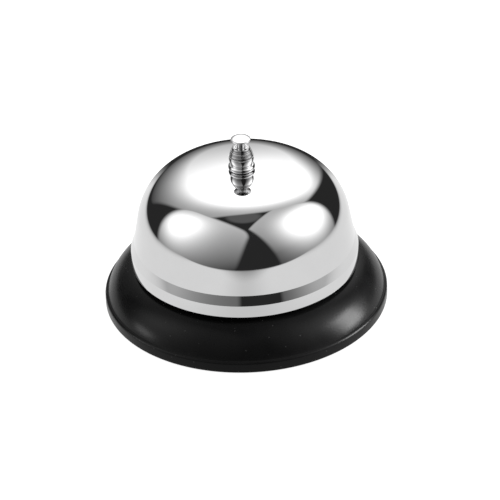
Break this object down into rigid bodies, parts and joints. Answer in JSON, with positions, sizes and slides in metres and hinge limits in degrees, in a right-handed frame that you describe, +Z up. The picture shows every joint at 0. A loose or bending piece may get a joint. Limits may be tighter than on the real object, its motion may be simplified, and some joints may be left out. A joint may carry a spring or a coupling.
{
  "type": "service bell",
  "caption": "Counter bell with a chromed domed bell over a black flared base, rung by a sprung button that swings a hammer inside.",
  "frame": {"origin": "centre of the base, on the table surface that the feet stand on", "axes": "+Z up through the button; the hammer swings towards -X; the pivot pin lies along Y"},
  "size_m": [0.085, 0.085, 0.0548],
  "materials": {
    "black_lacquer": "satin gloss black stoving lacquer on pressed steel",
    "plate_steel": "matt black paint on sheet steel",
    "rubber": "matt moulded rubber",
    "zinc_steel": "bright zinc plate on pressed and turned steel",
    "chrome": "mirror chrome plate with fine handling marks",
    "brass": "turned, slightly tarnished",
    "ground_steel": "ground bar",
    "spring_steel": "drawn wire and blued strip",
    "fibre": "red vulcanised fibre"
  },
  "bodies": {
    "housing": {"base_shell": "black_lacquer", "bottom_plate": "plate_steel", "foot_front_right": "rubber", "foot_back_right": "rubber", "foot_back_left": "rubber", "foot_front_left": "rubber", "bracket": "zinc_steel", "rivet_front_right": "zinc_steel", "rivet_back_right": "zinc_steel", "rivet_back_left": "zinc_steel", "rivet_front_left": "zinc_steel", "post": "brass", "post_lock_washer": "spring_steel", "post_nut": "zinc_steel", "seat_washer": "fibre", "bell": "chrome", "barrel_nut": "chrome", "pivot_pin": "ground_steel", "pivot_clip": "spring_steel", "spacer_front": "zinc_steel", "spacer_back": "zinc_steel"},
    "plunger": {"plunger_rod": "ground_steel", "button": "chrome", "return_spring": "spring_steel"},
    "striker": {"striker_lever": "zinc_steel", "hammer": "brass"}
  },
  "joints": [
    {"name": "button_press", "type": "slide", "parent": "housing", "child": "plunger", "axis": [0, 0, -1], "range_m": [0, 0.002], "stiffness_N_per_m": 600, "springref_m": -0.002, "deforming": ["return_spring"]},
    {"name": "striker_pivot", "type": "hinge", "parent": "housing", "child": "striker", "pos_m": [-0.0055, 0, 0.02973], "axis": [0, 1, 0], "range_deg": [0, 19.81]}
  ],
  "couplings": [
    {"joint": "striker_pivot", "follows": "button_press", "rad_per_m": 172.87}
  ]
}
